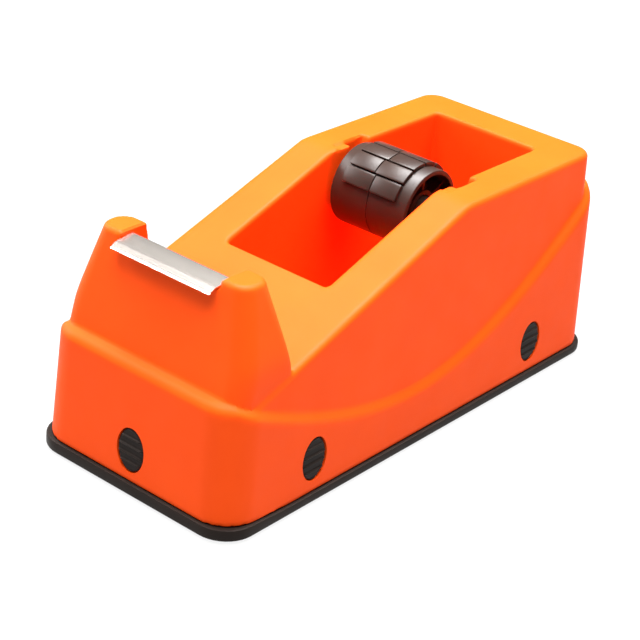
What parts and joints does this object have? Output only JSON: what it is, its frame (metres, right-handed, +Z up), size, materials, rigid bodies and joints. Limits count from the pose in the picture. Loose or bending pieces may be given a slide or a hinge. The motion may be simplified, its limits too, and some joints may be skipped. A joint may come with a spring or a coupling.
{
  "type": "desk tape dispenser",
  "caption": "Weighted desk tape dispenser: moulded housing with an open well, a serrated blade on a front tower and a hub that turns on a lift-out axle.",
  "frame": {"origin": "under the middle of the base, on the surface that the feet stand on", "axes": "-X towards the blade at the front, +Y to the left for a viewer in front of the blade who looks along +X, +Z up"},
  "size_m": [0.164, 0.07, 0.0669],
  "materials": {
    "orange_plastic": "satin moulded plastic",
    "dark_plastic": "satin moulded plastic",
    "hub_plastic": "semi-gloss moulded plastic",
    "blade_steel": "bright rolled strip",
    "foot_rubber": "matt",
    "ballast_iron": "as cast"
  },
  "bodies": {
    "housing": {"body_shell": "orange_plastic", "base_tray": "dark_plastic", "blade": "blade_steel", "foot_front_left": "foot_rubber", "foot_front_right": "foot_rubber", "foot_back_left": "foot_rubber", "foot_back_right": "foot_rubber", "ballast_block": "ballast_iron", "ballast_plate": "ballast_iron"},
    "axle": {"hub_axle": "hub_plastic"},
    "hub": {"hub_left_half": "hub_plastic", "hub_right_half": "hub_plastic"},
    "front_latch": {"latch_front": "dark_plastic"},
    "back_latch": {"latch_back": "dark_plastic"},
    "left_front_latch": {"latch_left_front": "dark_plastic"},
    "left_back_latch": {"latch_left_back": "dark_plastic"},
    "right_front_latch": {"latch_right_front": "dark_plastic"},
    "right_back_latch": {"latch_right_back": "dark_plastic"}
  },
  "joints": [
    {"name": "axle_lift", "type": "slide", "parent": "housing", "child": "axle", "axis": [0.309, 0, 0.9511], "range_m": [0, 0.06]},
    {"name": "hub_spin", "type": "hinge", "parent": "axle", "child": "hub", "pos_m": [0.022, 0.002, 0.0537], "axis": [0, 1, 0], "continuous": true},
    {"name": "front_latch_press", "type": "hinge", "parent": "housing", "child": "front_latch", "pos_m": [-0.07805, 0, 0.00345], "axis": [0, 1, 0], "range_deg": [0, 12], "stiffness_Nm_per_rad": 0.3},
    {"name": "back_latch_press", "type": "hinge", "parent": "housing", "child": "back_latch", "pos_m": [0.07805, 0, 0.00345], "axis": [0, -1, 0], "range_deg": [0, 12], "stiffness_Nm_per_rad": 0.3},
    {"name": "left_front_latch_press", "type": "hinge", "parent": "housing", "child": "left_front_latch", "pos_m": [-0.0486, 0.03104, 0.00345], "axis": [1, 0, 0], "range_deg": [0, 12], "stiffness_Nm_per_rad": 0.3},
    {"name": "left_back_latch_press", "type": "hinge", "parent": "housing", "child": "left_back_latch", "pos_m": [0.0486, 0.03104, 0.00345], "axis": [1, 0, 0], "range_deg": [0, 12], "stiffness_Nm_per_rad": 0.3},
    {"name": "right_front_latch_press", "type": "hinge", "parent": "housing", "child": "right_front_latch", "pos_m": [-0.0486, -0.03104, 0.00345], "axis": [-1, 0, 0], "range_deg": [0, 12], "stiffness_Nm_per_rad": 0.3},
    {"name": "right_back_latch_press", "type": "hinge", "parent": "housing", "child": "right_back_latch", "pos_m": [0.0486, -0.03104, 0.00345], "axis": [-1, 0, 0], "range_deg": [0, 12], "stiffness_Nm_per_rad": 0.3}
  ]
}
